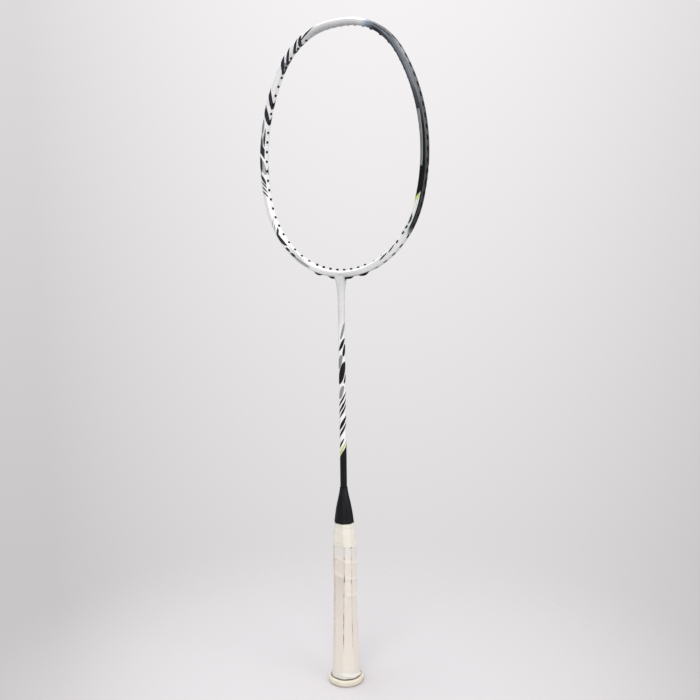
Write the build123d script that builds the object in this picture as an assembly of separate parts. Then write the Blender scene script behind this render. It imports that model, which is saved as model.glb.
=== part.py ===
from build123d import *
from math import cos, degrees, radians, sin
import os

# Badminton racket without strings, in millimetres.
# +Z runs from the butt to the top of the head. The head lies in the XZ plane, and the
# origin is the middle of the butt's flat end.
# A heading is the angle, in degrees, from the top of the head round to a place on it:
# 0 is the crown, 90 the widest place on the right and 180 the throat.

# ---- whole racket ----
LENGTH = 675.0
HEAD_WIDTH = 199.9
HEAD_LENGTH = 248.3
FIT = 0.05                  # radial clearance of glued and pushed-in pieces

# ---- head tube ----
TUBE_WIDTH = 6.6            # in the plane of the head
TUBE_DEPTH = 8.8            # across that plane
TUBE_CORNER = 2.4
TUBE_WALL = 0.8
GROOVE_WIDTH = 3.4          # channel for the strings, round the outside
GROOVE_DEPTH = 0.8
GROOVE_ROUND = 0.3
CROWN_RADIUS = 160.0        # of the tube's centre line at the crown
CROWN_END = 4.0             # headings at which one arc hands over to the next
SHOULDER_END = 58.0
SIDE_END = 105.5

# ---- throat and shaft ----
SHAFT_DIAMETER = 6.9
SHAFT_WALL = 0.9
SHAFT_FOOT = 102.0          # lower end of the shaft, inside the handle
SHAFT_HEAD = 399.0          # where the shaft meets the neck of the head
STEM_LENGTH = 46.0          # of the T piece, below the head tube
ARM_SPAN = 16.0             # headings that each arm of the T piece reaches from the throat
NECK = (                    # height, width, depth and corner radius of the neck
    (SHAFT_HEAD, SHAFT_DIAMETER, SHAFT_DIAMETER, 3.44),
    (SHAFT_HEAD + 10, 7.3, 7.1, 3.45),
    (SHAFT_HEAD + 20, 9.0, 8.2, 3.2),
    (SHAFT_HEAD + 25, 10.8, 8.6, 2.8),
)
NECK_TOP_WIDTH = 12.6
NECK_TOP_MARGIN = 0.2       # by which the neck's top is less deep than the head tube

# ---- string holes and grommets, in left and right pairs ----
THROAT_GAP = 8.4            # between the two holes nearest the middle of the throat
CROWN_GAP = 8.3
HOLE_RUNS = (               # how many gaps of which pitch, from the throat up to the crown
    (3, 8.65), (3, 10.95), (3, 10.85), (11, 9.83), (5, 9.4),
    (2, 10.9), (2, 12.35), (2, 9.6), (2, 8.1),
)
HOLE_RADIUS = 1.35
BORE_RADIUS = 0.8
TIP_OUT = 0.9               # how far a single grommet stands out inside the head
PAD_TIP_OUT = 1.8           # and the same of one that shares a pad
TIP_RADIUS = 1.15
TIP_ROUND = 0.3             # length of the tip's taper
FLANGE_LENGTH = 4.4
FLANGE_WIDTH = 2.7
FLANGE_THICKNESS = 0.7
BRIDGED_PAIRS = 4           # these holes, counted from the throat, share pads two by two
PAD_BULGE = 2.0             # how far a pad stands out of the head tube
PAD_CLEARANCE = 1.0         # by which the pad's pocket reaches further out
PAD_OVERHANG = 2.0          # how far a pad runs on past its holes

# ---- handle ----
GRIP_WIDTH = 23.6           # along X, over the grip
GRIP_DEPTH = 20.0           # along Y, over the grip
GRIP_BEVEL = 5.4
GRIP_CORNER = 1.6
GRIP_THICKNESS = 1.8
LEAST_CORNER = 0.3          # corner radius that the inner layers keep
TAPE_THICKNESS = 0.2        # double-sided tape under the grip
GRIP_FOOT = 7.4
GRIP_TOP = 150.6
GRIP_SECTIONS = (           # height, width, depth, bevel and corner radius, over the grip
    (GRIP_FOOT, 31.2, 31.0, 9.1, 8.9),
    (13.0, 28.3, 26.9, 7.6, 6.3),
    (21.0, 25.0, 22.6, 6.2, 3.6),
    (33.0, GRIP_WIDTH, GRIP_DEPTH, GRIP_BEVEL, GRIP_CORNER),
    (GRIP_TOP, GRIP_WIDTH, GRIP_DEPTH, GRIP_BEVEL, GRIP_CORNER),
)
COLLAR_SECTIONS = (         # height, width, depth, bevel and corner radius, over the collar
    (150.8, 23.1, 19.8, 5.4, GRIP_CORNER),
    (160.0, 21.5, 19.0, 5.35, GRIP_CORNER),
    (173.6, 19.4, 18.0, 5.3, GRIP_CORNER),
)
COLLAR_THICKNESS = 1.0
SKIRT_THICKNESS = 1.0       # of the cone cap, under the collar
CONE = (                    # height, width, depth, bevel and corner radius of the cone cap
    (COLLAR_SECTIONS[-1][0], 19.9, 18.6, 5.5, 1.0),
    (181.0, 17.9, 17.0, 5.0, 1.0),
    (189.0, 15.6, 15.1, 4.5, 1.2),
    (200.0, 11.1, 10.9, 3.2, 1.6),
    (210.6, 8.0, 8.0, 2.35, 3.2),
)

# ---- butt ----
CAP_RADIUS = 18.5
CAP_HEIGHT = 7.0
CAP_ROUND = 2.4             # of the ring's upper edge
CAP_FOOT_ROUND = 2.8
PLUG_RADIUS = 7.4
PLUG_HEIGHT = 12.0
PLUG_CHAMFER = 1.0
BADGE_RADIUS = 11.0
BADGE_THICKNESS = 0.5
BADGE_RECESS = 0.7
BADGE_ROUND = 0.2
CORE_BORE_RADIUS = 5.0      # lightening hole, between the plug and the shaft
CORE_WEB = 8.0              # wood left between that hole and the shaft

# ---- staple that starts the grip ----
STAPLE_WIDTH = 10.0
STAPLE_LEG = 5.0
STAPLE_WIRE = 0.7
STAPLE_HEIGHT = 48.0

# Worked out
HALF_TUBE = TUBE_WIDTH / 2
HALF_WIDTH = HEAD_WIDTH / 2 - HALF_TUBE
CROWN_Z = LENGTH - HALF_TUBE
THROAT_Z = LENGTH - HEAD_LENGTH
SHAFT_BORE = SHAFT_DIAMETER / 2 - SHAFT_WALL
FLOOR = HALF_TUBE - GROOVE_DEPTH      # of the string channel, from the tube's centre line
LAYERS = GRIP_THICKNESS + TAPE_THICKNESS
SHRINK = 2 - 2**0.5                   # change of a 45 degree bevel for each unit of inset


# ---------------------------------------------------------------- outline of the head

def arc_radii():
    """Radii of the centre line's four arcs, which close at the head's width and length."""
    s1, s2, s3 = (sin(radians(a)) for a in (CROWN_END, SHOULDER_END, SIDE_END))
    c1, c2, c3 = (cos(radians(a)) for a in (CROWN_END, SHOULDER_END, SIDE_END))
    length = HEAD_LENGTH - TUBE_WIDTH
    shoulder_base = (HALF_WIDTH - CROWN_RADIUS * s1) / (s2 - s1)
    shoulder_slope = (1 - s2) / (s2 - s1)
    throat_slope = (1 + c3) / s3
    known = CROWN_RADIUS * (1 - c1) + shoulder_base * (c1 - c2) + HALF_WIDTH * throat_slope
    per_side = (c2 - c3) - shoulder_slope * (c1 - c2) - (1 - s3) * throat_slope
    side = (length - known) / per_side
    shoulder = shoulder_base - shoulder_slope * side
    throat = (HALF_WIDTH - side * (1 - s3)) / s3
    return CROWN_RADIUS, shoulder, side, throat


def head_arcs():
    """The right half of the centre line: (centre, radius, first heading, last heading)."""
    headings = (0.0, CROWN_END, SHOULDER_END, SIDE_END, 180.0)
    arcs = []
    point = Vector(0, 0, CROWN_Z)
    for radius, start, end in zip(arc_radii(), headings, headings[1:]):
        centre = point - outward(start) * radius
        arcs.append((centre, radius, start, end))
        point = centre + outward(end) * radius
    return arcs


def outward(heading):
    """Unit vector away from the middle of the head at a heading."""
    return Vector(sin(radians(heading)), 0, cos(radians(heading)))


def sweep_arc(section, centre, radius, start, end):
    """Turn a section of the tube, drawn with X outward, about one arc's centre."""
    out = outward(start)
    across = Vector(-out.Z, 0, out.X)
    plane = Plane(centre + out * radius, x_dir=out, z_dir=across)
    return revolve(plane * section, Axis(centre, (0, 1, 0)), revolution_arc=end - start)


def sweep_head(section):
    """Turn a section right round the head."""
    crown, shoulder, side, throat = head_arcs()
    ring = sweep_arc(section, crown[0], crown[1], -CROWN_END, CROWN_END)
    for arc in (shoulder, side):
        limb = sweep_arc(section, *arc)
        ring = ring + limb + mirror(limb, Plane.YZ)
    return ring + sweep_arc(section, throat[0], throat[1], SIDE_END, 360 - SIDE_END)


# ---------------------------------------------------------------- string holes

def hole_headings():
    """Heading of each hole on the right, from the throat up to the crown."""
    gaps = [pitch for count, pitch in HOLE_RUNS for _ in range(count)]
    distances = [THROAT_GAP / 2]
    for gap in gaps:
        distances.append(distances[-1] + gap)
    arcs = [(radius - HALF_TUBE, start, end) for _, radius, start, end in reversed(head_arcs())]
    half_round = sum(radius * radians(end - start) for radius, start, end in arcs)
    stretch = half_round / (distances[-1] + CROWN_GAP / 2)
    return [heading_at(distance * stretch, arcs) for distance in distances]


def heading_at(distance, arcs):
    """Heading at a distance from the throat, along the head's inner face."""
    for radius, start, end in arcs:
        length = radius * radians(end - start)
        if distance <= length:
            return end - degrees(distance / radius)
        distance -= length
    return 0.0


def hole_plane(heading):
    """Plane on the tube's centre line at a right-hand heading, with Z outward and Y as in the head."""
    for centre, radius, start, end in head_arcs():
        if start <= heading <= end:
            out = outward(heading)
            return Plane(centre + out * radius, x_dir=(out.Z, 0, -out.X), z_dir=out)
    raise ValueError(heading)


def both_sides(solid):
    """A right-hand solid and its mirror image, as two separate solids."""
    return Compound(children=[solid, mirror(solid, Plane.YZ)])


def hole_drills(headings):
    """Cylinders through the tube at every hole on both sides."""
    drill = Cylinder(HOLE_RADIUS, 2 * TUBE_WIDTH)
    right = [hole_plane(heading) * drill for heading in headings]
    return right + [mirror(tool, Plane.YZ) for tool in right]


# ---------------------------------------------------------------- head and shaft

def tube_section(wall=TUBE_WALL):
    """Cross-section of the head tube, X outward, with the string channel."""
    outside = RectangleRounded(TUBE_WIDTH, TUBE_DEPTH, TUBE_CORNER)
    groove = Pos(HALF_TUBE, 0) * RectangleRounded(2 * GROOVE_DEPTH, GROOVE_WIDTH, GROOVE_ROUND)
    return outside - groove - cavity_section(wall)


def cavity_section(wall):
    """The hollow of the head tube, or a filling of it when the wall is taken thicker."""
    width = TUBE_WIDTH - GROOVE_DEPTH - 2 * wall
    hollow = RectangleRounded(width, TUBE_DEPTH - 2 * wall, TUBE_CORNER - wall)
    return Pos(-GROOVE_DEPTH / 2, 0) * hollow


def upright(radius, foot, top):
    """A round bar along Z between two heights."""
    bar = Cylinder(radius, top - foot, align=(Align.CENTER, Align.CENTER, Align.MIN))
    return Pos(0, 0, foot) * bar


def block(height, width, depth, corner):
    """A horizontal rounded rectangle at a height."""
    return Pos(0, 0, height) * RectangleRounded(width, depth, corner)


def neck():
    """Flare between the shaft and the head tube, up to the floor of the string channel."""
    height = THROAT_Z + GROOVE_DEPTH + TUBE_WALL / 2
    top = (height, NECK_TOP_WIDTH, TUBE_DEPTH - NECK_TOP_MARGIN, TUBE_CORNER)
    return loft([block(*size) for size in NECK + (top,)])


def pocketed_neck(headings):
    """The neck, with room for the pads where it covers the string channel."""
    flare = neck()
    for first in range(0, BRIDGED_PAIRS, 2):
        pocket = pad(headings[first], headings[first + 1], FIT, PAD_BULGE + PAD_CLEARANCE)
        flare = flare - pocket - mirror(pocket, Plane.YZ)
    return flare


def make_head_frame(headings):
    frame = sweep_head(tube_section()) + pocketed_neck(headings)
    frame -= upright(SHAFT_BORE, SHAFT_HEAD, THROAT_Z + HALF_TUBE)
    for drill in hole_drills(headings):
        frame -= drill
    return frame


def make_t_joint(headings):
    """Insert that ties the shaft to the head: arms in the head tube and a stem in the shaft."""
    centre, radius = head_arcs()[-1][:2]
    arms = sweep_arc(cavity_section(TUBE_WALL + FIT), centre, radius, 180 - ARM_SPAN, 180 + ARM_SPAN)
    insert = arms + upright(SHAFT_BORE - FIT, THROAT_Z - STEM_LENGTH, THROAT_Z + HALF_TUBE)
    for drill in hole_drills(headings[:BRIDGED_PAIRS]):
        insert -= drill
    return insert


def make_shaft():
    height = SHAFT_HEAD - SHAFT_FOOT
    wall = Circle(SHAFT_DIAMETER / 2) - Circle(SHAFT_BORE)
    return extrude(Pos(0, 0, SHAFT_FOOT) * wall, height)


# ---------------------------------------------------------------- grommets

def barrel(tip_out):
    """Tube of a grommet, Z outward, from its rounded tip inside the head to the channel floor."""
    radius = HOLE_RADIUS - FIT
    inner = -HALF_TUBE - tip_out
    profile = Polyline(
        (BORE_RADIUS, inner),
        (TIP_RADIUS, inner),
        (radius, inner + TIP_ROUND),
        (radius, FLOOR),
        (BORE_RADIUS, FLOOR),
        close=True,
    )
    return revolve(Plane.XZ * make_face(profile), Axis.Z)


def flange():
    """Oval head of a single grommet, which lies in the string channel."""
    oval = SlotOverall(FLANGE_LENGTH, FLANGE_WIDTH) - Circle(BORE_RADIUS)
    return extrude(Pos(0, 0, FLOOR) * oval, FLANGE_THICKNESS)


def make_grommet(heading):
    return both_sides(hole_plane(heading) * (barrel(TIP_OUT) + flange()))


def pad(lower, upper, spread=0.0, bulge=PAD_BULGE):
    """Crescent along the channel over two holes; spread enlarges it into its own pocket."""
    centre, radius = head_arcs()[-1][:2]
    floor = radius + FLOOR - spread
    overhang = degrees((PAD_OVERHANG + spread) / floor)
    first, last = min(180.0, lower + overhang), upper - overhang
    middle = (first + last) / 2
    ends = [centre + outward(a) * floor for a in (first, last)]
    low = centre + outward(middle) * floor
    high = centre + outward(middle) * (radius + HALF_TUBE + bulge)
    under = ThreePointArc(ends[0], low, ends[1])
    over = ThreePointArc(ends[1], high, ends[0])
    return extrude(make_face([under, over]), FLANGE_WIDTH / 2 + spread, both=True)


def make_bridged_grommets(lower, upper):
    """Two barrels on each side under one shared pad."""
    unit = pad(lower, upper)
    for heading in (lower, upper):
        place = hole_plane(heading)
        unit += place * barrel(PAD_TIP_OUT)
        unit -= place * Cylinder(BORE_RADIUS, 3 * TUBE_WIDTH)
    return both_sides(unit)


# ---------------------------------------------------------------- handle

def octagon(height, width, depth, bevel, corner, inset=0.0):
    """A bevelled rectangle at a height, drawn in by an inset on every side."""
    half_x = width / 2 - inset
    half_y = depth / 2 - inset
    bevel -= SHRINK * inset
    corners = [
        (half_x, half_y - bevel), (half_x - bevel, half_y),
        (bevel - half_x, half_y), (-half_x, half_y - bevel),
        (-half_x, bevel - half_y), (bevel - half_x, -half_y),
        (half_x - bevel, -half_y), (half_x, bevel - half_y),
    ]
    face = make_face(Polyline(*corners, close=True))
    return Pos(0, 0, height) * fillet(face.vertices(), max(corner - inset, LEAST_CORNER))


def stack(sizes, inset=0.0):
    """Solid with straight sides between one octagon and the next."""
    return loft([octagon(*size, inset=inset) for size in sizes], ruled=True)


def grip_body(inset):
    """The handle below the collar, drawn in by an inset from the grip's outside."""
    return stack(GRIP_SECTIONS, inset)


def collar_body(inset):
    """The tapered top of the handle, drawn in by an inset from the collar's outside."""
    return stack(COLLAR_SECTIONS, inset)


def make_handle_core(staple):
    """Wooden handle: bored from the top for the shaft and from the butt for the plug."""
    foot = octagon(*GRIP_SECTIONS[0], inset=LAYERS)
    sole = extrude(foot, CAP_HEIGHT - GRIP_FOOT)
    top = extrude(octagon(*COLLAR_SECTIONS[0], inset=LAYERS), GRIP_TOP - COLLAR_SECTIONS[0][0])
    core = grip_body(LAYERS) + sole + top + collar_body(COLLAR_THICKNESS + SKIRT_THICKNESS)
    core -= upright(SHAFT_DIAMETER / 2 + FIT, SHAFT_FOOT, LENGTH)
    core -= upright(PLUG_RADIUS + FIT, 0, CAP_HEIGHT + PLUG_HEIGHT + 1)
    core -= upright(CORE_BORE_RADIUS, 0, SHAFT_FOOT - CORE_WEB)
    return core - staple


def make_adhesive_tape(staple):
    return grip_body(GRIP_THICKNESS) - grip_body(LAYERS) - staple


def make_grip(staple):
    return grip_body(0) - grip_body(GRIP_THICKNESS) - staple


def make_collar():
    return collar_body(0) - collar_body(COLLAR_THICKNESS)


def make_cone_cap():
    """Cone over the top of the handle, with a skirt that the collar wraps."""
    cone = loft([octagon(*size) for size in CONE])
    skirt = collar_body(COLLAR_THICKNESS) - collar_body(COLLAR_THICKNESS + SKIRT_THICKNESS)
    cap = cone + skirt
    return cap - upright(SHAFT_DIAMETER / 2 + FIT, 0, LENGTH)


def make_staple():
    """Wire staple on the front flat of the wood, legs pointing into it."""
    face = -(GRIP_DEPTH / 2 - LAYERS)
    crown = Box(STAPLE_WIDTH, STAPLE_WIRE, STAPLE_WIRE, align=(Align.CENTER, Align.MAX, Align.CENTER))
    leg = Box(STAPLE_WIRE, STAPLE_LEG, STAPLE_WIRE, align=(Align.CENTER, Align.MIN, Align.CENTER))
    reach = (STAPLE_WIDTH - STAPLE_WIRE) / 2
    staple = crown + Pos(reach, 0, 0) * leg + Pos(-reach, 0, 0) * leg
    return Pos(0, face, STAPLE_HEIGHT) * staple


# ---------------------------------------------------------------- butt

def make_butt_cap():
    """Rounded ring under the handle, with a plug up into the wood."""
    ring = upright(CAP_RADIUS, 0, CAP_HEIGHT)
    ring = fillet(ring.edges().filter_by(GeomType.CIRCLE).sort_by(Axis.Z)[-1], CAP_ROUND)
    ring = fillet(ring.edges().filter_by(GeomType.CIRCLE).sort_by(Axis.Z)[0], CAP_FOOT_ROUND)
    plug = upright(PLUG_RADIUS, CAP_HEIGHT, CAP_HEIGHT + PLUG_HEIGHT)
    plug = chamfer(plug.edges().filter_by(GeomType.CIRCLE).sort_by(Axis.Z)[-1], PLUG_CHAMFER)
    return ring + plug - upright(BADGE_RADIUS, 0, BADGE_RECESS)


def make_butt_badge():
    foot = BADGE_RECESS - BADGE_THICKNESS
    badge = upright(BADGE_RADIUS - FIT, foot, BADGE_RECESS)
    return fillet(badge.edges().filter_by(GeomType.CIRCLE).sort_by(Axis.Z)[0], BADGE_ROUND)


# ---------------------------------------------------------------- all pieces

def grommet_nodes(headings):
    """Bridged units by the throat, then single grommets numbered up to the crown."""
    nodes = {}
    for first in range(0, BRIDGED_PAIRS, 2):
        name = f"throat_grommets_{first + 1}_{first + 2}"
        nodes[name] = make_bridged_grommets(headings[first], headings[first + 1])
    for number in range(BRIDGED_PAIRS, len(headings)):
        nodes[f"grommet_pair_{number + 1:02d}"] = make_grommet(headings[number])
    return nodes


def all_nodes():
    headings = hole_headings()
    staple = make_staple()
    nodes = {
        "head_frame": make_head_frame(headings),
        "t_joint": make_t_joint(headings),
        "shaft": make_shaft(),
        "cone_cap": make_cone_cap(),
        "collar_tape": make_collar(),
        "handle_core": make_handle_core(staple),
        "adhesive_tape": make_adhesive_tape(staple),
        "grip_wrap": make_grip(staple),
        "grip_staple": staple,
        "butt_cap": make_butt_cap(),
        "butt_badge": make_butt_badge(),
    }
    nodes.update(grommet_nodes(headings))
    return nodes


os.makedirs("parts", exist_ok=True)
for name, solid in all_nodes().items():
    export_step(solid, f"parts/{name}.step")
print("arc radii", [round(radius, 1) for radius in arc_radii()])
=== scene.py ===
"""Studio scene of a badminton racket without strings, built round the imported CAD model, in metres."""

from math import atan2, ceil, cos, degrees, floor, hypot, pi, radians, sin, sqrt

import bpy
from mathutils import Euler, Matrix, Vector, noise


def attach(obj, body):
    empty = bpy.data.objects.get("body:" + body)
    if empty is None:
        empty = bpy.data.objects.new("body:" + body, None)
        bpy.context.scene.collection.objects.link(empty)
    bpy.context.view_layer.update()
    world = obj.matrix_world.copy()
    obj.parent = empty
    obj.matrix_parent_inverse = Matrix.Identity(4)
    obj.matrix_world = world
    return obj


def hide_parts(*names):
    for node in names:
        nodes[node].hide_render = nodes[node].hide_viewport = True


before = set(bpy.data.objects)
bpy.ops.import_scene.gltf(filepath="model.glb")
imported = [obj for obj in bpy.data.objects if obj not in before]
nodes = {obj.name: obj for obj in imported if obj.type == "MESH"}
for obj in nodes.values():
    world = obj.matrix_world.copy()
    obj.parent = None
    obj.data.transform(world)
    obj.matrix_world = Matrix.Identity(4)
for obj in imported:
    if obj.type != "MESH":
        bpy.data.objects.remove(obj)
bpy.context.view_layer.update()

MM = 0.001
FIRST_WHITE_GROMMET = 31    # from this number up, round the crown, they are white

# ---------------------------------------------------------------- colours, linear
# paint on the head and shaft
WHITE_PAINT = (0.90, 0.892, 0.895)
LIME_WHITE = (0.76, 0.80, 0.70)
# painted shade for the inner half of the crown's front face
CROWN_SHADE_WHITE = (0.60, 0.597, 0.603)
# painted shade for the neck
NECK_SHADE_WHITE = (0.70, 0.69, 0.695)
BLACK_PAINT = (0.004, 0.0044, 0.0055)
DUSK_PAINT = (0.034, 0.031, 0.037)
NAVY = (0.022, 0.022, 0.034)
SMOKE_DARK = (0.034, 0.036, 0.040)
SMOKE_LIGHT = (0.150, 0.162, 0.180)
SLATE_DARK = (0.070, 0.075, 0.090)
SLATE_LIGHT = (0.215, 0.240, 0.270)
FADE_BLUE = (0.20, 0.25, 0.37)
GREY_PAINT = (0.27, 0.27, 0.28)
SILVER = (0.45, 0.46, 0.47)
SLASH_PAINT = (0.026, 0.026, 0.033)
NEON = (0.47, 0.58, 0.02)
CARBON_WHITE = (1.0, 1.0, 1.04)
BLACK = (0, 0, 0)
# plastics, wood, film and wire
NYLON_BLACK = (0.006, 0.006, 0.007)
NYLON_BLACK_WORN = (0.014, 0.014, 0.014)
NYLON_WHITE = (0.74, 0.75, 0.75)
NYLON_WHITE_WORN = (0.62, 0.62, 0.61)
BADGE = (0.70, 0.66, 0.56)
BADGE_WORN = (0.60, 0.56, 0.47)
INSERT = (0.02, 0.02, 0.022)
INSERT_WORN = (0.035, 0.035, 0.035)
CONE_BLACK = (0.004, 0.004, 0.0058)
CONE_GREY = (0.011, 0.0112, 0.015)
BUTT_CREAM = (0.72, 0.67, 0.55)
BUTT_DULL = (0.66, 0.60, 0.49)
BUTT_SCUFF = (0.34, 0.30, 0.25)
# painted shade in the cap's corner under the grip
BUTT_CORNER_SHADE = (0.16, 0.13, 0.10)
BEECH_PALE = (0.56, 0.34, 0.17)
BEECH_DARK = (0.36, 0.19, 0.085)
FILM_PALE = (0.62, 0.55, 0.38)
FILM_DARK = (0.48, 0.40, 0.26)
WIRE_PALE = (0.62, 0.62, 0.60)
WIRE_DARK = (0.48, 0.48, 0.47)
# grip and collar
CREAM = (0.76, 0.695, 0.61)
CREAM_PINK = (0.76, 0.675, 0.61)
CREAM_LOW = (0.60, 0.545, 0.49)
CREAM_COOL = (0.625, 0.605, 0.55)
CREAM_ASH = (0.745, 0.712, 0.665)
CREAM_GREY = (0.62, 0.58, 0.52)
# painted highlight: the pale band along each grip turn's lower edge
CREAM_HIGHLIGHT = (0.87, 0.80, 0.73)
# painted shade in the fold under each grip turn
CREAM_FOLD_SHADE = (0.40, 0.34, 0.28)
DIRT = (0.12, 0.10, 0.085)
COLLAR_PALE = (0.79, 0.74, 0.66)
COLLAR_WARM = (0.76, 0.715, 0.62)
COLLAR_RIM = (0.74, 0.73, 0.63)
# painted shade in the collar's folds
COLLAR_FOLD_SHADE = (0.50, 0.45, 0.38)
# studio
FLOOR_PALE = (0.60, 0.578, 0.588)
FLOOR_DULL = (0.585, 0.562, 0.572)
SURROUND = (1.0, 0.972, 0.985)
ROOM_LIGHT = (0.97, 0.98, 1.0)

# ---------------------------------------------------------------- paint on the head
# Heading: degrees round the head, 0 at the crown, 180 at the throat, negative on the left.
# Across: millimetres over the tube from the outer edge of its front face; the inner face starts at 6.6.
HALF_TUBE = 3.3
HALF_DEPTH = 4.4
FACE_BLEND = 1.2            # mm either side of the tube's middle over which the two sides' counts meet
HEAD_ARCS = (               # centre x and z, radius, first heading of the tube's centre line, in mm
    (0.0, 511.70, 160.00, 0.0),
    (5.84, 595.18, 76.32, 4.0),
    (-75.05, 544.63, 171.70, 58.0),
    (0.0, 523.82, 93.82, 105.5),
)
# A slash is pointed at both ends. A LONG one runs along the tube, and gives its heading and place across
# at both ends, its half width in mm and its bow. A CROSS one runs across the tube, and gives its place
# across and heading at both ends, its half width in degrees and its bow. Those on the right limb are dashes.
LONG_BLACK = (
    (-12.6, -0.4, -31.5, 6.4, 1.05, 0.1),
    (-78.0, 6.3, -84.8, 7.2, 1.20, 0.0),
    (-80.2, 1.9, -86.5, 3.0, 0.95, 0.0),
    (-86.0, 2.4, -93.6, 2.9, 1.75, 0.0),
    (-123.0, 3.2, -136.1, 5.9, 2.10, -1.2),
    (-134.5, 2.5, -139.7, 3.3, 1.35, 0.0),
    (-139.8, 2.6, -145.4, 3.3, 1.35, 0.0),
    (112.6, 4.6, 119.8, 4.0, 1.10, -0.6),
    (120.2, 4.0, 123.1, 4.6, 1.25, 0.0),
    (124.2, 4.2, 127.1, 4.8, 1.25, 0.0),
    (130.8, 4.6, 133.5, 4.2, 1.20, 0.0),
    (134.0, 4.9, 141.4, 3.6, 0.90, 0.2),
    (141.4, 4.7, 148.8, 3.3, 0.95, 0.2),
)
CROSS_BLACK = (
    (-1.8, -27.0, 14.6, -34.6, 1.95, 0.0),
    (-0.6, -30.4, 15.5, -44.0, 1.95, -0.5),
    (-0.8, -38.6, 15.5, -54.4, 2.30, -1.0),
    (-1.8, -46.6, 11.6, -59.0, 2.90, -0.2),
    (-3.6, -62.6, 15.0, -71.6, 1.50, -1.3),
    (-3.4, -69.0, 13.4, -76.8, 1.65, -0.9),
)
CROSS_SHORT_BLACK = (       # these end soon after the inner face begins, at SHORT_ENDS
    (-2.5, -84.4, 12.0, -88.2, 1.95, 0.0),
    (0.4, -93.8, 9.6, -98.1, 1.00, 0.0),
    (1.2, -96.4, 9.3, -99.3, 0.42, 0.0),
    (1.0, -97.9, 9.3, -100.9, 0.42, 0.0),
    (0.9, -99.5, 9.3, -102.5, 0.42, 0.0),
    (0.2, -126.2, 11.0, -119.8, 1.35, 0.0),
)
SHORT_ENDS = 8.2
CROSS_GAPS = (              # unpainted strips through the slashes
    (-2.0, -85.7, 12.0, -91.2, 0.60, 0.0),
    (-1.0, -133.6, 8.5, -136.8, 0.55, 0.0),
)
LONG_GREY = (
    (-75.1, 2.4, -80.8, 3.0, 1.60, 0.0),
    (-80.4, 4.6, -85.2, 4.6, 1.40, 0.0),
    (-143.6, 2.7, -158.2, 2.6, 1.60, 0.0),
)
CROSS_GREY = (
    (6.0, -51.5, 16.0, -58.5, 3.00, 0.0),
    (1.5, -90.0, 10.5, -93.4, 2.20, 0.0),
    (1.4, -121.4, 7.0, -117.6, 0.60, 0.0),
)
CROSS_FAINT = (
    (1.4, -118.4, 9.0, -113.0, 0.90, 0.0),
)
LONG_FAINT = (
    (-134.6, 7.2, -153.6, 6.4, 2.00, 0.0),
)

# ---------------------------------------------------------------- paint on the shaft
# Round: degrees about the shaft, 0 at the front. Rise: height in mm, less the slope of the slashes.
SHAFT_SLOPE = 0.10          # mm of height for each degree round
SHAFT_TURN = 35.0           # the place round at which a slash's height is given
SHAFT_SEAM = 55             # each half's pattern starts this many degrees before the front or the back
SHAFT_BLACK = (             # place round and height at both ends, half height, bow
    (-25, 359, 95, 359, 3.6, 0),
    (40, 349, 118, 349, 5.5, 0),
    (-52, 330, 115, 331, 9.0, 0),
    (55, 318, 122, 319, 3.5, 0),
    (-50, 303, 118, 303, 1.9, 0),
    (-52, 296, 118, 296, 2.2, 0),
    (-30, 290, 118, 290, 2.2, 0),
    (-53, 279, 120, 278, 3.2, 0),
    (-53, 271, 120, 271, 2.3, 0),
    (-53, 260, 60, 260, 2.0, 0),
)
SHAFT_GREY = (
    (5, 368, 100, 374, 5.0, 0),
    (-50, 345, 50, 345, 6.0, 0),
    (-35, 312, 70, 312, 5.5, 0),
)
SHAFT_NEON = (
    (-54, 252.8, 122, 252.8, 1.6, 0),
    (-54, 249.4, 40, 249.4, 1.2, 0),
)
SHAFT_BLACK_TOP = 249.3
NECK_FOOT = (366.0, 388.0)  # the neck's painted shade, a greyer white, fades into the shaft's white between these heights
NECK_TOP = (427.0, 434.0)   # and into the head's between these

# ---------------------------------------------------------------- node arithmetic

def feed(tree, value, socket):
    """Puts a number, a colour or another node's output into a socket."""
    if isinstance(value, Value):
        tree.links.new(value.socket, socket)
    elif hasattr(value, "__len__") and len(value) == 3 and socket.type == "RGBA":
        socket.default_value = (*value, 1)
    else:
        socket.default_value = value


class Value:
    """What a node puts out, with arithmetic that adds more nodes."""

    def __init__(self, tree, socket):
        self.tree = tree
        self.socket = socket

    def math(self, operation, *others):
        return maths(self.tree, operation, self, *others)

    def __add__(self, other):
        return self.math("ADD", other)

    def __sub__(self, other):
        return self.math("SUBTRACT", other)

    def __rsub__(self, other):
        return maths(self.tree, "SUBTRACT", other, self)

    def __mul__(self, other):
        return self.math("MULTIPLY", other)

    def __truediv__(self, other):
        return self.math("DIVIDE", other)

    def size(self):
        return self.math("ABSOLUTE")

    def ramp(self, low, high, first=0.0, last=1.0, kind="SMOOTHSTEP"):
        """Goes from first to last as the value goes from low to high, and stays there."""
        node = self.tree.nodes.new("ShaderNodeMapRange")
        node.interpolation_type = kind
        for value, socket in zip((self, low, high, first, last), node.inputs):
            feed(self.tree, value, socket)
        return Value(self.tree, node.outputs[0])


def maths(tree, operation, *values):
    node = tree.nodes.new("ShaderNodeMath")
    node.operation = operation
    for value, socket in zip(values, node.inputs):
        feed(tree, value, socket)
    return Value(tree, node.outputs[0])


def blend(tree, share, first, second):
    """The first colour where share is 0 and the second where it is 1."""
    node = tree.nodes.new("ShaderNodeMix")
    node.data_type = "RGBA"
    for value, name in ((share, "Factor_Float"), (first, "A_Color"), (second, "B_Color")):
        socket = next(s for s in node.inputs if s.identifier == name)
        feed(tree, value, socket)
    return Value(tree, next(s for s in node.outputs if s.identifier == "Result_Color"))


def surface_place(tree):
    """The place on the surface in the racket's own frame, in metres."""
    return Value(tree, tree.nodes.new("ShaderNodeTexCoord").outputs["Object"])


def millimetres(tree):
    """The same place as x, y and z in millimetres."""
    node = tree.nodes.new("ShaderNodeSeparateXYZ")
    feed(tree, surface_place(tree), node.inputs[0])
    return [Value(tree, socket) * (1 / MM) for socket in node.outputs]


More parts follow.
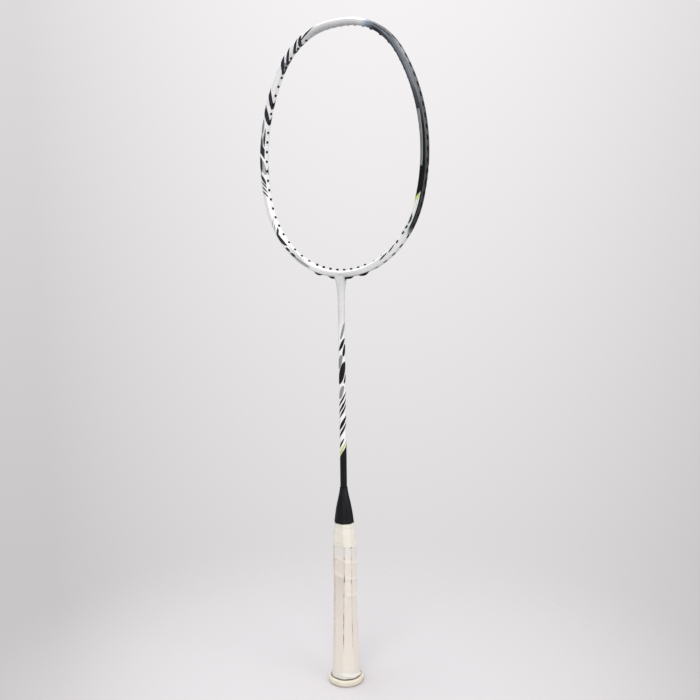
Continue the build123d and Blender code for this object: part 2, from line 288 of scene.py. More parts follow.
def vector(tree, x, y, z):
    node = tree.nodes.new("ShaderNodeCombineXYZ")
    for value, socket in zip((x, y, z), node.inputs):
        feed(tree, value, socket)
    return Value(tree, node.outputs[0])


def cloud(tree, place, scale, detail=3.0, roughness=0.5, stretch=None):
    """Smooth noise from 0 to 1, about 0.5."""
    if stretch:
        scaled = tree.nodes.new("ShaderNodeVectorMath")
        scaled.operation = "MULTIPLY"
        feed(tree, place, scaled.inputs[0])
        scaled.inputs[1].default_value = stretch
        place = Value(tree, scaled.outputs[0])
    node = tree.nodes.new("ShaderNodeTexNoise")
    feed(tree, place, node.inputs["Vector"])
    node.inputs["Scale"].default_value = scale
    node.inputs["Detail"].default_value = detail
    node.inputs["Roughness"].default_value = roughness
    return Value(tree, node.outputs[0])


def cells(tree, place, scale):
    """Distance from the middle of the nearest cell."""
    node = tree.nodes.new("ShaderNodeTexVoronoi")
    feed(tree, place, node.inputs["Vector"])
    node.inputs["Scale"].default_value = scale
    return Value(tree, node.outputs["Distance"])


def bumpy(tree, height, distance, strength=1.0):
    """A bump of that height, where 1 stands distance metres proud."""
    node = tree.nodes.new("ShaderNodeBump")
    node.inputs["Strength"].default_value = strength
    node.inputs["Distance"].default_value = distance
    feed(tree, height, node.inputs["Height"])
    return Value(tree, node.outputs[0])


def finish_of(name, **inputs):
    """A new material's tree and Principled shader, with these inputs set."""
    material = bpy.data.materials.new(name)
    material.use_nodes = True
    tree = material.node_tree
    shader = tree.nodes["Principled BSDF"]
    for key, value in inputs.items():
        feed(tree, value, shader.inputs[key.replace("_", " ")])
    return material, tree, shader


def paint_node(name, material):
    slots = nodes[name].data.materials
    slots.clear()
    slots.append(material)


# ---------------------------------------------------------------- painted head and shaft

def lens(along, across, start, start_across, end, end_across, half_width, bow, soft):
    """1 inside a slash that is pointed at both ends, and 0 outside."""
    share = along.ramp(start, end, kind="LINEAR")
    body = share * (1 - share) * 4
    middle = share * (end_across - start_across) + start_across
    if bow:
        middle = middle + body * bow
    inside = body.math("POWER", 0.8) * half_width - (across - middle).size()
    return inside.ramp(-soft, soft)


def slashes(along, across, rows, soft):
    """1 inside any of the slashes."""
    total = None
    for row in rows:
        mask = lens(along, across, *row, soft)
        total = mask if total is None else total.math("MAXIMUM", mask)
    return total


def head_place(x, y, z):
    """Heading round the head and place across the tube, as described above."""
    side = x.ramp(-0.001, 0.001, -1, 1, "LINEAR")
    flat = x.size()
    heading = radial = None
    for centre_x, centre_z, radius, start in HEAD_ARCS:
        dx = flat - centre_x
        dz = z - centre_z
        turn = dx.math("ARCTAN2", dz) * degrees(1)
        out = (dx * dx + dz * dz).math("SQRT") - radius
        if heading is None:
            heading, radial = turn, out
            continue
        here = turn.math("GREATER_THAN", start)
        heading = heading + (turn - heading) * here
        radial = radial + (out - radial) * here
    depth = HALF_DEPTH - y.size()
    face = (radial / -FACE_BLEND).ramp(-1, 1, -1, 1, "LINEAR")
    return heading * side, HALF_TUBE - radial + depth * face


class HeadSpot:
    """Where a point of the head lies, and the unevenness that all its paint shares."""

    def __init__(self, tree):
        self.place = surface_place(tree)
        x, y, self.z = millimetres(tree)
        self.heading, self.across = head_place(x, y, self.z)
        self.outer = self.across.ramp(-0.3, -0.9)
        # ragged hand-brushed edges, and streaks along the tube
        self.wobble = cloud(tree, self.place, 260, 3, 0.6) - 0.5
        self.edge = self.across + self.wobble * 0.5
        self.streaks = cloud(tree, vector(tree, self.heading, self.across * 3.0, y), 0.10, 4, 0.65)
        # heading along the slant on which the dark side ends in the front face
        self.slant = self.heading - self.across * 0.45


def gloss(tree, place, shader):
    """Uneven lacquer: a faint orange peel, and specks of dust and handling in the roughness."""
    peel = cloud(tree, place, 420, 2)
    wear = cloud(tree, place, 60, 5, 0.7)
    feed(tree, wear.ramp(0.35, 0.75, 0.24, 0.36), shader.inputs["Roughness"])
    feed(tree, bumpy(tree, peel, 0.00002, 0.25), shader.inputs["Normal"])


def dark_reach(spot):
    """1 on the dark side, which fades in at the shoulder and ends on a slant in the front face."""
    front_stop = (spot.slant + spot.wobble * 0.4).ramp(101.6, 102.2, 1, 0)
    round_outside = spot.heading.ramp(120.2, 126.0, 1, 0)
    stop = front_stop + (round_outside - front_stop) * spot.across.ramp(1.5, 0.9)
    return (spot.heading + spot.outer * 2.5).ramp(20.0, 31.0) * stop


def blue_fringe(spot):
    """1 in the bluish fades at both ends of the dark side."""
    upper = spot.heading.ramp(17.0, 24.0) * (1 - spot.heading.ramp(26.0, 33.0))
    lower = spot.heading.ramp(119.6, 121.0) * spot.heading.ramp(123.5, 126.5, 1, 0) * spot.outer
    return upper.math("MAXIMUM", lower)


def dark_face(tree, spot):
    """The dark side's front: a smoky strip, a silvery middle and a navy inner strip, then black."""
    patches = spot.streaks.ramp(0.40, 0.60)
    bands = spot.across + spot.wobble * 0.8 - spot.heading.ramp(44, 58, 0, 0.9)
    smoke = blend(tree, spot.heading.ramp(44, 54), SMOKE_DARK, SMOKE_LIGHT)
    silvery = blend(tree, spot.heading.ramp(30, 42), SMOKE_LIGHT, SLATE_LIGHT)
    silvery = blend(tree, patches * 0.4, silvery, SMOKE_DARK)
    navy_share = patches.ramp(0, 1, 0.4, 1) * spot.heading.ramp(35, 43)
    colour = blend(tree, bands.ramp(1.2, 2.3), smoke, silvery)
    colour = blend(tree, bands.ramp(2.9, 3.9), colour, blend(tree, navy_share, NAVY, SLATE_DARK))
    blotched = blend(tree, patches, DUSK_PAINT, SLATE_DARK)
    further = spot.heading - spot.across.ramp(0.4, 2.2, 4, 0)
    colour = blend(tree, further.ramp(66, 74), colour, blotched)
    return blend(tree, spot.heading.ramp(73, 83), colour, BLACK_PAINT)


def dark_outside(tree, spot):
    """The outer face of the dark side: greyer, and darker down the side."""
    heading = spot.heading
    level = heading.ramp(24, 46, 0.25, 0.20, "LINEAR") + heading.ramp(47, 54, 0, 0.10)
    level = level - heading.ramp(57, 67, 0, 0.14) - heading.ramp(67, 80, 0, 0.055, "LINEAR")
    level = level - heading.ramp(80, 104, 0, 0.055, "LINEAR")
    return blend(tree, level * spot.streaks.ramp(0.3, 0.7, 0.75, 1.25), BLACK, CARBON_WHITE)


def light_ground(tree, spot):
    """White, with a lime tint low on the right, painted shade along the crown's inner edge and painted shade
    on the neck.
    """
    lime = spot.heading.ramp(104.0, 108.0) * spot.heading.ramp(112.0, 136.0, 1, 0.25)
    pearl = cloud(tree, spot.place, 30, 3)
    colour = blend(tree, lime * pearl.ramp(0.3, 0.7, 0.35, 1.0), WHITE_PAINT, LIME_WHITE)
    # painted shade: grey along the crown's inner edge, where the rounded tube turns away from the light
    crown_shade = spot.heading.size().ramp(34, 16) * spot.across.ramp(2.0, 3.6)
    colour = blend(tree, crown_shade * 0.8, colour, CROWN_SHADE_WHITE)
    # painted shade on the neck, fading out into the head
    neck_top, head_foot = NECK_TOP
    return blend(tree, spot.z.ramp(head_foot, neck_top), colour, NECK_SHADE_WHITE)


def light_slashes(tree, spot, colour):
    """Faint, grey and black slashes and a neon flash over the light side."""
    heading, edge = spot.heading, spot.edge
    faint = slashes(edge, heading, CROSS_FAINT, 0.3)
    faint = faint.math("MAXIMUM", slashes(heading, edge, LONG_FAINT, 0.25))
    grey = slashes(edge, heading, CROSS_GREY, 0.12)
    grey = grey.math("MAXIMUM", slashes(heading, edge, LONG_GREY, 0.2))
    black = slashes(edge, heading, CROSS_BLACK, 0.12)
    black = black.math("MAXIMUM", slashes(heading, edge, LONG_BLACK, 0.14))
    short = spot.across.ramp(SHORT_ENDS, SHORT_ENDS - 0.4) * spot.across.ramp(0.9, 1.3)
    black = black.math("MAXIMUM", slashes(edge, heading, CROSS_SHORT_BLACK, 0.08) * short)
    painted = 1 - slashes(edge, heading, CROSS_GAPS, 0.15)
    colour = blend(tree, faint * 0.6, colour, GREY_PAINT)
    colour = blend(tree, grey * painted * spot.streaks.ramp(0.3, 0.6, 0.7, 1.0), colour, GREY_PAINT)
    colour = blend(tree, black * painted, colour, SLASH_PAINT)
    neon = (spot.slant + spot.wobble * 0.8).ramp(103.0, 104.2, 1, 0)
    neon = neon * (spot.slant + spot.wobble * 0.4).ramp(101.5, 102.0) * spot.across.ramp(0.8, 2.2)
    return blend(tree, neon * 0.75, colour, NEON)


def pinstripes(spot):
    """1 on two plain stripes along the dark side's front."""
    middle = spot.heading.ramp(77, 95, 3.75, 4.35, "LINEAR")
    off_stripe = ((spot.across - middle).size() - 0.72).size()
    length = spot.heading.ramp(77.2, 77.7) * spot.heading.ramp(94.4, 94.9, 1, 0)
    return off_stripe.ramp(0.36, 0.54, 1, 0) * length * spot.streaks.ramp(0.35, 0.65, 0.55, 0.75)


def head_paint():
    """Lacquer on the head: the light side, the dark side over it, then the pinstripes."""
    material, tree, shader = finish_of(
        "head_lacquer", Coat_Weight=0.15, Coat_Roughness=0.08, Specular_IOR_Level=0.32)
    spot = HeadSpot(tree)
    light = light_slashes(tree, spot, light_ground(tree, spot))
    dark = blend(tree, spot.outer, dark_face(tree, spot), dark_outside(tree, spot))
    colour = blend(tree, blue_fringe(spot) * 0.8, light, FADE_BLUE)
    colour = blend(tree, dark_reach(spot), colour, dark)
    colour = blend(tree, pinstripes(spot), colour, SILVER)
    feed(tree, colour, shader.inputs["Base Color"])
    gloss(tree, spot.place, shader)
    return material


def shaft_paint():
    """White with slashes, black at the foot; the same on the front and back halves."""
    material, tree, shader = finish_of(
        "shaft_lacquer", Coat_Weight=0.35, Coat_Roughness=0.08, Specular_IOR_Level=0.45)
    place = surface_place(tree)
    x, y, z = millimetres(tree)
    turn = x.math("ARCTAN2", y * -1) * degrees(1)
    half = (turn + (360 + SHAFT_SEAM)).math("MODULO", 180) - SHAFT_SEAM
    wobble = cloud(tree, place, 300, 3, 0.6) - 0.5
    rise = z - (half - SHAFT_TURN) * SHAFT_SLOPE + wobble * 1.2
    # painted shade on the neck: a greyer white towards the top of the shaft
    colour = blend(tree, z.ramp(*NECK_FOOT), WHITE_PAINT, NECK_SHADE_WHITE)
    colour = blend(tree, slashes(half, rise, SHAFT_GREY, 0.4), colour, GREY_PAINT)
    colour = blend(tree, slashes(half, rise, SHAFT_BLACK, 0.35), colour, BLACK_PAINT)
    colour = blend(tree, slashes(half, rise, SHAFT_NEON, 0.3), colour, NEON)
    below = rise.ramp(SHAFT_BLACK_TOP - 0.6, SHAFT_BLACK_TOP + 0.6, 1, 0)
    colour = blend(tree, below, colour, BLACK_PAINT)
    feed(tree, colour, shader.inputs["Base Color"])
    gloss(tree, place, shader)
    return material


# ---------------------------------------------------------------- plastics, wood, tape, steel

def moulded(name, colour, worn, roughness):
    """Moulded plastic with a fine spark-eroded skin and slight unevenness of colour."""
    material, tree, shader = finish_of(name, Specular_IOR_Level=0.3)
    place = surface_place(tree)
    patch = cloud(tree, place, 70, 4, 0.6)
    feed(tree, blend(tree, patch.ramp(0.4, 0.7, 0, 0.6), colour, worn), shader.inputs["Base Color"])
    feed(tree, patch.ramp(0.3, 0.7, roughness - 0.06, roughness + 0.08), shader.inputs["Roughness"])
    grain = cells(tree, place, 2800)
    feed(tree, bumpy(tree, grain, 0.00004, 0.35), shader.inputs["Normal"])
    return material


def wooden():
    """Beech with its grain down the handle."""
    material, tree, shader = finish_of("beech", Specular_IOR_Level=0.3)
    place = surface_place(tree)
    rings = cloud(tree, place, 90, 4, 0.6, (1, 1, 0.06))
    fleck = cloud(tree, place, 500, 2, 0.5, (1, 1, 0.12))
    grain = rings * 0.7 + fleck * 0.3
    feed(tree, blend(tree, grain.ramp(0.35, 0.65), BEECH_PALE, BEECH_DARK), shader.inputs["Base Color"])
    feed(tree, grain.ramp(0.3, 0.7, 0.5, 0.7), shader.inputs["Roughness"])
    feed(tree, bumpy(tree, grain, 0.0001, 0.6), shader.inputs["Normal"])
    return material


def taped():
    """Sticky film with small wrinkles."""
    material, tree, shader = finish_of("tape_film", Specular_IOR_Level=0.4)
    place = surface_place(tree)
    film = cloud(tree, place, 140, 4, 0.6)
    feed(tree, blend(tree, film.ramp(0.4, 0.7), FILM_PALE, FILM_DARK), shader.inputs["Base Color"])
    feed(tree, film.ramp(0.3, 0.7, 0.3, 0.5), shader.inputs["Roughness"])
    feed(tree, bumpy(tree, film, 0.00008, 0.5), shader.inputs["Normal"])
    return material


def steel():
    """Drawn wire."""
    material, tree, shader = finish_of("staple_wire", Metallic=1.0)
    place = surface_place(tree)
    drawn = cloud(tree, place, 800, 3, 0.6, (0.1, 1, 1))
    feed(tree, blend(tree, drawn.ramp(0.4, 0.7), WIRE_PALE, WIRE_DARK), shader.inputs["Base Color"])
    feed(tree, drawn.ramp(0.3, 0.7, 0.22, 0.4), shader.inputs["Roughness"])
    return material


def cone_finish():
    """Satin black moulding with a brushed look down its length."""
    material, tree, shader = finish_of("cone_moulding", Specular_IOR_Level=0.44)
    place = surface_place(tree)
    patch = cloud(tree, place, 60, 4, 0.6, (1, 1, 0.35))
    feed(tree, blend(tree, patch.ramp(0.4, 0.75), CONE_BLACK, CONE_GREY), shader.inputs["Base Color"])
    feed(tree, patch.ramp(0.3, 0.7, 0.32, 0.46), shader.inputs["Roughness"])
    grain = cells(tree, place, 2600)
    feed(tree, bumpy(tree, grain, 0.00005, 0.35), shader.inputs["Normal"])
    return material


def butt_finish():
    """Cream cap with a soft sheen, scuffs round its rim and painted shade in the corner under the grip."""
    material, tree, shader = finish_of("butt_moulding", Specular_IOR_Level=0.45)
    place = surface_place(tree)
    x, y, z = millimetres(tree)
    patch = cloud(tree, place, 90, 4, 0.6)
    scuff = cloud(tree, place, 420, 4, 0.7, (1, 1, 3))
    colour = blend(tree, patch.ramp(0.35, 0.7), BUTT_CREAM, BUTT_DULL)
    scuff_and_highlight = scuff.ramp(0.56, 0.68) * z.ramp(1.2, 0.0)
    colour = blend(tree, scuff_and_highlight * 0.5, colour, BUTT_SCUFF)
    radius = (x * x + y * y).math("SQRT")
    corner = radius.ramp(17.2, 15.6) * z.ramp(6.2, 6.9)
    # painted shade in the corner where the grip sits on the cap
    colour = blend(tree, corner * patch.ramp(0.3, 0.6, 0.6, 0.95), colour, BUTT_CORNER_SHADE)
    feed(tree, colour, shader.inputs["Base Color"])
    feed(tree, patch.ramp(0.3, 0.7, 0.38, 0.55), shader.inputs["Roughness"])
    feed(tree, bumpy(tree, scuff, 0.00008, 0.4), shader.inputs["Normal"])
    return material


# ---------------------------------------------------------------- wound grip and collar
ARC_STEPS = 9               # points round each of the section's eight corners
SIDE_STEPS = 12             # and along each of its eight sides
GRIP_ROWS = (               # height, width, depth, bevel, corner radius, in mm
    (7.5, 31.0, 30.8, 9.1, 8.9),
    (13.0, 28.3, 26.9, 7.6, 6.3),
    (21.0, 25.0, 22.6, 6.2, 3.6),
    (33.0, 23.6, 20.0, 5.4, 1.9),
    (150.0, 23.6, 20.0, 5.4, 1.9),
    (152.0, 23.4, 19.9, 5.4, 1.9),
)
COLLAR_ROWS = (
    (149.5, 23.7, 20.1, 5.4, 2.0),
    (152.5, 23.1, 19.8, 5.4, 2.0),
    (160.0, 21.8, 19.2, 5.35, 2.0),
    (173.7, 19.4, 18.0, 5.3, 2.0),
)
GRIP_PITCH = 17.5           # mm that a turn climbs
GRIP_START = 12.0           # height at which a turn's lower edge passes the front
COLLAR_PITCH = 9.0
GATHERED = 155.0            # height about which the collar's tape is gathered into ripples
GATHERED_REACH = 8.0
INNER_EDGE = 0.6            # mm by which a sleeve's inside edge stands back from its ends


def between(rows, height):
    """The section at a height, on a smooth curve through the rows."""
    count = len(rows)
    at = next((i for i in range(count - 1) if height <= rows[i + 1][0]), count - 2)
    low, high = rows[at], rows[at + 1]
    before, after = rows[max(at - 1, 0)], rows[min(at + 2, count - 1)]
    span = high[0] - low[0]
    share = (height - low[0]) / span
    section = []
    for k in range(1, len(low)):
        start = (high[k] - before[k]) / (high[0] - before[0]) * span
        end = (after[k] - low[k]) / (after[0] - low[0]) * span
        rise = high[k] - low[k]
        if rise == 0:
            start = end = 0
        square, cube = share**2, share**3
        section.append(
            low[k] + start * (share - 2 * square + cube)
            + rise * (3 * square - 2 * cube) + end * (cube - square))
    return section


def outline(width, depth, bevel, radius):
    """Points of a rounded octagon with their outward directions and distance from a corner."""
    shift = radius * (sqrt(2) - 1)
    near = (width / 2 - radius, depth / 2 - bevel - shift)
    far = (width / 2 - bevel - shift, depth / 2 - radius)
    centres = []
    for quarter in range(4):
        flip = quarter % 2
        pair = (far, near) if flip else (near, far)
        for place in pair:
            sx = 1 if quarter in (0, 3) else -1
            sy = 1 if quarter in (0, 1) else -1
            centres.append((place[0] * sx, place[1] * sy))
    arcs = []
    for k, (cx, cy) in enumerate(centres):
        for step in range(ARC_STEPS):
            angle = radians(45 * (k + step / (ARC_STEPS - 1)))
            arcs.append((cx, cy, angle))
    points = []
    for k in range(8):
        for cx, cy, angle in arcs[k * ARC_STEPS:(k + 1) * ARC_STEPS]:
            away = radius * abs(angle - radians(45 * (k + 0.5)))
            points.append((cx + radius * cos(angle), cy + radius * sin(angle), angle, away))
        x0, y0, angle, away0 = points[-1]
        cx, cy = centres[(k + 1) % 8]
        x1, y1 = cx + radius * cos(angle), cy + radius * sin(angle)
        length = hypot(x1 - x0, y1 - y0)
        for step in range(1, SIDE_STEPS + 1):
            share = step / (SIDE_STEPS + 1)
            away = away0 + length * min(share, 1 - share)
            points.append((x0 + (x1 - x0) * share, y0 + (y1 - y0) * share, angle, away))
    return points


def drawn_in(height, foot, top, lip):
    """How far a sleeve's surface draws in near its rounded ends: none, or down to minus lip."""
    inside = min(height - foot, top - height)
    if inside >= lip:
        return 0.0
    return -lip * (1 - sqrt(max(0, 1 - (1 - inside / lip)**2)))


def sleeve_rings(foot, top, step, wall, lip):
    """Height and inset of each ring of points, from the inside edge at the foot to the one at the top."""
    count = ceil((top - foot) / step)
    rings = [(foot + INNER_EDGE, -wall)]
    for i in range(count + 1):
        height = foot + (top - foot) * i / count
        rings.append((height, drawn_in(height, foot, top, lip)))
    rings.append((top - INNER_EDGE, -wall))
    return rings


def wound(name, rows, foot, top, step, relief, wall, lip):
    """A closed sleeve wound round the handle, with relief(x, y, z, place round) in mm on its outside."""
    rings = sleeve_rings(foot, top, step, wall, lip)
    vertices, corners, phases = [], [], []
    for height, inset in rings:
        section = between(rows, min(max(height, rows[0][0]), rows[-1][0]))
        for x, y, angle, away in outline(*section):
            raised, phase = 0.0, 0.0
            if inset > -wall:
                raised, phase = relief(x, y, height, degrees(atan2(x, -y)))
            grow = inset + raised
            vertices.append(Vector((x + grow * cos(angle), y + grow * sin(angle), height)) * MM)
            corners.append(away)
            phases.append(phase)
    around = 8 * (ARC_STEPS + SIDE_STEPS)
    count = len(rings)
    faces = []
    for i in range(count):
        low, high = i * around, (i + 1) % count * around
        for j in range(around):
            k = (j + 1) % around
            faces.append((low + j, low + k, high + k, high + j))
    mesh = bpy.data.meshes.new(name)
    mesh.from_pydata(vertices, [], faces)
    for key, values in (("corner", corners), ("phase", phases)):
        mesh.attributes.new(key, "FLOAT", "POINT").data.foreach_set("value", values)
    mesh.polygons.foreach_set("use_smooth", [True] * len(mesh.polygons))
    piece = bpy.data.objects.new(name, mesh)
    bpy.context.scene.collection.objects.link(piece)
    return piece


def grip_relief(x, y, z, place):
    """Overlapping turns that climb the handle: each turn's lower edge lies on the one below."""
    turn = (z - GRIP_START + GRIP_PITCH * place / 360) / GRIP_PITCH
    phase = turn - floor(turn)
    edge = phase * GRIP_PITCH            # mm above the turn's lower edge
    firm = 0.75 + 0.5 * noise.noise(Vector((0, 0, floor(turn) * 1.7 + place * 0.004)))
    step = 0.34 * firm * (1 - phase) ** 1.4
    if edge < 1.2:
        step *= (edge / 1.2) ** 0.7
    plump = 0.12 * firm * sin(pi * min(edge / 5.0, 1.0))
    wavy = noise.noise(Vector((x * 0.11, y * 0.11, z * 0.11))) * 0.13
    crease = noise.noise(Vector((place * 0.03, (z + place * GRIP_PITCH / 360) * 0.55, 3.7)))
    fine = noise.noise(Vector((x * 0.6, y * 0.6, z * 0.6))) * 0.035
    return step + plump + wavy + crease * 0.05 + fine - 0.25, phase


def collar_relief(x, y, z, place):
    """Thin tape, pulled tight in slanting turns that wrinkle a little."""
    turn = (z + COLLAR_PITCH * place / 360) / COLLAR_PITCH
    phase = turn - floor(turn)
    edge = phase * COLLAR_PITCH
    step = 0.16 * (1 - phase)
    if edge < 0.5:
        step *= edge / 0.5
    crease = noise.noise(Vector((place * 0.02, (z + place * 0.02) * 0.9, 1.3)))
    wavy = noise.noise(Vector((x * 0.2, y * 0.2, z * 0.2)))
    gathered = max(0.0, 1 - abs(z - GATHERED) / GATHERED_REACH)
    ripple = sin(2 * pi * (z + place * 0.035 + wavy * 2.5) / 2.1) * 0.13 * gathered
    return step + crease * 0.16 + wavy * 0.1 + ripple - 0.10, phase


def attribute(tree, name):
    """A number that the mesh carries: phase, a turn's share from 0 to 1, or corner, mm from an edge."""
    node = tree.nodes.new("ShaderNodeAttribute")
    node.attribute_name = name
    return Value(tree, node.outputs["Fac"])


def leathery(tree, place, shader, hollow=None):
    """The skin of polyurethane tape: fine pores and soft creases, sunk where hollow is above 0."""
    pores = cells(tree, place, 1500).ramp(0.1, 0.5)
    crease = cloud(tree, place, 260, 5, 0.65, (1, 1, 1.8))
    height = pores * 0.35 + crease * 0.65
    if hollow is not None:
        height = height - hollow
    feed(tree, bumpy(tree, height, 0.00012, 0.55), shader.inputs["Normal"])
    feed(tree, crease.ramp(0.3, 0.7, 0.50, 0.68), shader.inputs["Roughness"])


def grip_finish():
    """Worn cream tape: duller low down, ashen at the top, a painted highlight along each turn's edge,
    painted shade in the fold under it, and dirty edges.
    """
    material, tree, shader = finish_of(
        "grip_tape", Specular_IOR_Level=0.35, Sheen_Weight=0.15, Sheen_Roughness=0.5)
    place = surface_place(tree)
    z = millimetres(tree)[2]
    patch = cloud(tree, place, 45, 4, 0.6)
    tone = blend(tree, patch.ramp(0.40, 0.62), CREAM, CREAM_PINK)
    mottle = cloud(tree, place, 190, 5, 0.7)
    tone = blend(tree, (z + mottle * 20).ramp(105, 35) * 0.55, tone, CREAM_LOW)
    tone = blend(tree, (z + mottle * 5).ramp(22, 14), tone, CREAM_COOL)
    tone = blend(tree, (z + mottle * 2).ramp(138, 141) * 0.85, tone, CREAM_ASH)
    tone = blend(tree, mottle.ramp(0.48, 0.70, 0, 0.34), tone, CREAM_GREY)
    # each turn's lower edge carries a painted highlight, and the fold under it painted shade
    phase = attribute(tree, "phase")
    # painted highlight just above each turn's lower edge
    scuff_and_highlight = phase.ramp(0.0, 0.03) * phase.ramp(0.10, 0.26, 1, 0) * patch.ramp(0.35, 0.60, 0.75, 1.0)
    tone = blend(tree, scuff_and_highlight * 0.7, tone, CREAM_HIGHLIGHT)
    # painted shade in the fold under each turn's edge
    fold_shade = phase.ramp(0.965, 0.995) * mottle.ramp(0.42, 0.66, 0.05, 0.50)
    tone = blend(tree, fold_shade, tone, CREAM_FOLD_SHADE)
    # the handle's edges are worn through in broken lines, less towards the butt
    corner = attribute(tree, "corner")
    broken = cloud(tree, place, 135, 4, 0.7, (1, 1, 0.75)).ramp(0.51, 0.60)
    faint = cloud(tree, place, 40, 2, 0.5).ramp(0.35, 0.65, 0.15, 0.40)
    worn = corner.ramp(0.95, 0.15) * (broken * 0.85 + faint).ramp(0, 1, kind="LINEAR")
    worn = worn * z.ramp(24, 50)
    tone = blend(tree, worn * 0.9, tone, DIRT)
    feed(tree, tone, shader.inputs["Base Color"])
    leathery(tree, place, shader, worn * 0.6)
    return material


def collar_finish():
    """Pale tape, greyer at its upper rim, with painted shade in its folds."""
    material, tree, shader = finish_of(
        "collar_tape_skin", Specular_IOR_Level=0.4, Sheen_Weight=0.1, Sheen_Roughness=0.5)
    place = surface_place(tree)
    patch = cloud(tree, place, 80, 4, 0.6)
    z = millimetres(tree)[2]
    tone = blend(tree, patch.ramp(0.4, 0.65), COLLAR_PALE, COLLAR_WARM)
    tone = blend(tree, (z + patch * 6).ramp(168, 175) * 0.7, tone, COLLAR_RIM)
    phase = attribute(tree, "phase")
    # painted shade in the fold under each turn
    fold_shade = phase.ramp(0.93, 0.99) * patch.ramp(0.35, 0.6, 0.1, 0.4)
    tone = blend(tree, fold_shade, tone, COLLAR_FOLD_SHADE)
    feed(tree, tone, shader.inputs["Base Color"])
    leathery(tree, place, shader)
    return material


def dress_handle():
    """The wound grip and collar, in place of the CAD model's plain sleeves."""
    grip = wound("grip_winding", GRIP_ROWS, foot=7.5, top=150.8, step=0.35,
                 relief=grip_relief, wall=1.5, lip=0.7)
    grip.data.materials.append(grip_finish())
    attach(grip, "root")
    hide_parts("grip_wrap")
    collar = wound("collar_winding", COLLAR_ROWS, foot=149.8, top=173.7, step=0.2,
                   relief=collar_relief, wall=0.8, lip=0.5)
    collar.data.materials.append(collar_finish())
    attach(collar, "root")
    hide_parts("collar_tape")


def dress_frame():
    """Paint and finishes on the CAD model's own pieces."""
    paint_node("head_frame", head_paint())
    paint_node("shaft", shaft_paint())
    paint_node("cone_cap", cone_finish())
    paint_node("butt_cap", butt_finish())
    paint_node("butt_badge", moulded("badge_moulding", BADGE, BADGE_WORN, 0.35))
    paint_node("t_joint", moulded("insert_moulding", INSERT, INSERT_WORN, 0.5))
    paint_node("handle_core", wooden())
    paint_node("adhesive_tape", taped())
    paint_node("grip_staple", steel())
    black = moulded("grommet_nylon_black", NYLON_BLACK, NYLON_BLACK_WORN, 0.46)
    white = moulded("grommet_nylon_white", NYLON_WHITE, NYLON_WHITE_WORN, 0.42)
    for name in nodes:
        if "grommet" in name:
            number = int(name.split("_")[-1])
            paint_node(name, white if number >= FIRST_WHITE_GROMMET else black)


# ---------------------------------------------------------------- studio
CAMERA_PLACE = (0.49469, -0.69541, 0.46203)     # in metres
CAMERA_PITCH, CAMERA_YAW, CAMERA_ROLL = -7.269, 34.875, -0.697      # in degrees
CAMERA_LENS = 43.71         # in mm, on a sensor 36 mm wide
BRIGHT_WAY = (-0.538, 0.843)    # across the floor, toward the brightest part of the surround
ROOM_ABOVE = 0.86           # how bright the surround lights the racket from above
ROOM_BELOW = 0.42           # and from below
ROOM_MIRRORED = 0.22        # how bright it is in reflections
FLOOR_RADIUS = 0.9
FLOOR_SIDES = 96


def camera():
    lens_data = bpy.data.cameras.new("camera")
    lens_data.lens = CAMERA_LENS
    lens_data.sensor_width = 36
    view = bpy.data.objects.new("camera", lens_data)
    turn = Euler((radians(90 + CAMERA_PITCH), 0, radians(CAMERA_YAW)), "XYZ").to_matrix()
    turn = turn @ Matrix.Rotation(radians(CAMERA_ROLL), 3, "Z")
    view.matrix_world = Matrix.Translation(CAMERA_PLACE) @ turn.to_4x4()
    bpy.context.scene.collection.objects.link(view)
    bpy.context.scene.camera = view


def softbox(name, place, target, size, power):
    lamp = bpy.data.lights.new(name, "AREA")
    lamp.shape = "SQUARE"
    lamp.size = size
    lamp.energy = power
    box = bpy.data.objects.new(name, lamp)
    aim = (Vector(target) - Vector(place)).to_track_quat("-Z", "Y")
    box.matrix_world = Matrix.Translation(place) @ aim.to_matrix().to_4x4()
    bpy.context.scene.collection.objects.link(box)


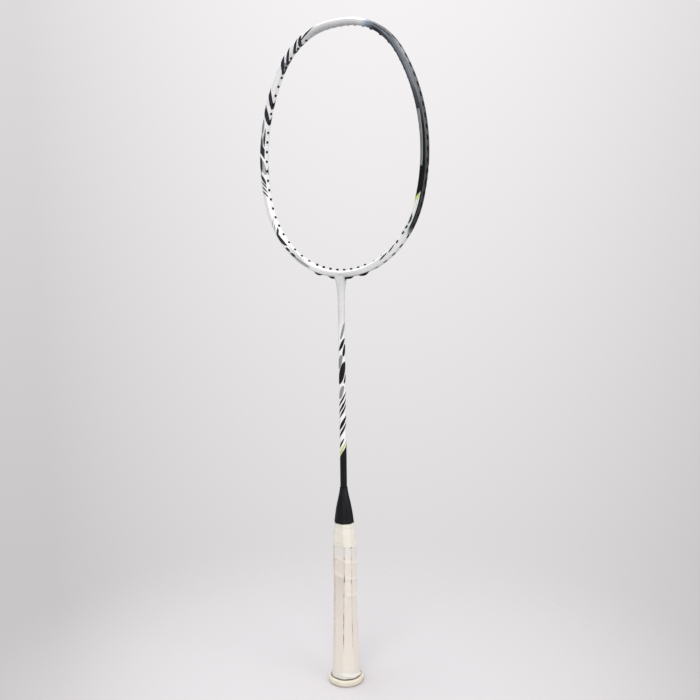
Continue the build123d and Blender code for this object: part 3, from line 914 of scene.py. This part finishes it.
def studio_floor():
    """A pale round floor that fades into the backdrop."""
    turns = [2 * pi * i / FLOOR_SIDES for i in range(FLOOR_SIDES)]
    rim = [(FLOOR_RADIUS * cos(turn), FLOOR_RADIUS * sin(turn), 0) for turn in turns]
    mesh = bpy.data.meshes.new("floor")
    mesh.from_pydata(rim, [], [tuple(range(FLOOR_SIDES))])
    ground = bpy.data.objects.new("floor", mesh)
    bpy.context.scene.collection.objects.link(ground)
    material, tree, shader = finish_of("floor", Roughness=0.6, Specular_IOR_Level=0.2)
    place = surface_place(tree)
    length = tree.nodes.new("ShaderNodeVectorMath")
    length.operation = "LENGTH"
    feed(tree, place, length.inputs[0])
    reach = Value(tree, length.outputs["Value"])
    feed(tree, reach.ramp(0.10, 0.45, 1, 0), shader.inputs["Alpha"])
    mottle = cloud(tree, place, 9, 3)
    feed(tree, blend(tree, mottle, FLOOR_DULL, FLOOR_PALE), shader.inputs["Base Color"])
    mesh.materials.append(material)


def backdrop():
    """A pale surround, brightest above the racket's head; gloss mirrors a darker room."""
    world = bpy.data.worlds.new("studio")
    bpy.context.scene.world = world
    world.use_nodes = True
    tree = world.node_tree
    room = tree.nodes["Background"]
    feed(tree, ROOM_LIGHT, room.inputs[0])
    seen = tree.nodes.new("ShaderNodeBackground")
    pick = tree.nodes.new("ShaderNodeMixShader")
    path = tree.nodes.new("ShaderNodeLightPath")
    split = tree.nodes.new("ShaderNodeSeparateXYZ")
    tree.links.new(tree.nodes.new("ShaderNodeTexCoord").outputs["Generated"], split.inputs[0])
    x, y, z = (Value(tree, socket) for socket in split.outputs)
    turned = (x * BRIGHT_WAY[0] + y * BRIGHT_WAY[1]) / (x * x + y * y).math("SQRT")
    # duller away from the bright way, but the same all round where it is seen steeply from above
    level = z.ramp(-0.85, -0.55)
    sideways = (turned.ramp(0.925, 1.0, 0.79, 1.0, "LINEAR") - 0.84) * level + 0.84
    upright = z.ramp(-0.33, 0.32, 0.735, 0.940, "LINEAR")
    feed(tree, blend(tree, sideways * upright, BLACK, SURROUND), seen.inputs[0])
    mirrored = Value(tree, path.outputs["Is Glossy Ray"])
    lighting = z.ramp(-1, 1, ROOM_BELOW, ROOM_ABOVE, "LINEAR")
    feed(tree, mirrored.ramp(0, 1, lighting, ROOM_MIRRORED, "LINEAR"), room.inputs[1])
    tree.links.new(path.outputs["Is Camera Ray"], pick.inputs[0])
    tree.links.new(room.outputs[0], pick.inputs[1])
    tree.links.new(seen.outputs[0], pick.inputs[2])
    tree.links.new(pick.outputs[0], tree.nodes["World Output"].inputs[0])


def studio():
    studio_floor()
    backdrop()
    softbox("key", (0.7, -1.5, 2.0), (0, 0, 0.4), 1.4, 24)
    softbox("side", (1.9, -0.2, 0.9), (0, 0, 0.4), 1.2, 11)
    softbox("top", (-0.5, -0.1, 2.3), (0, 0, 0.3), 1.5, 20)


dress_frame()
dress_handle()
camera()
studio()
bpy.context.scene.view_settings.view_transform = "Standard"
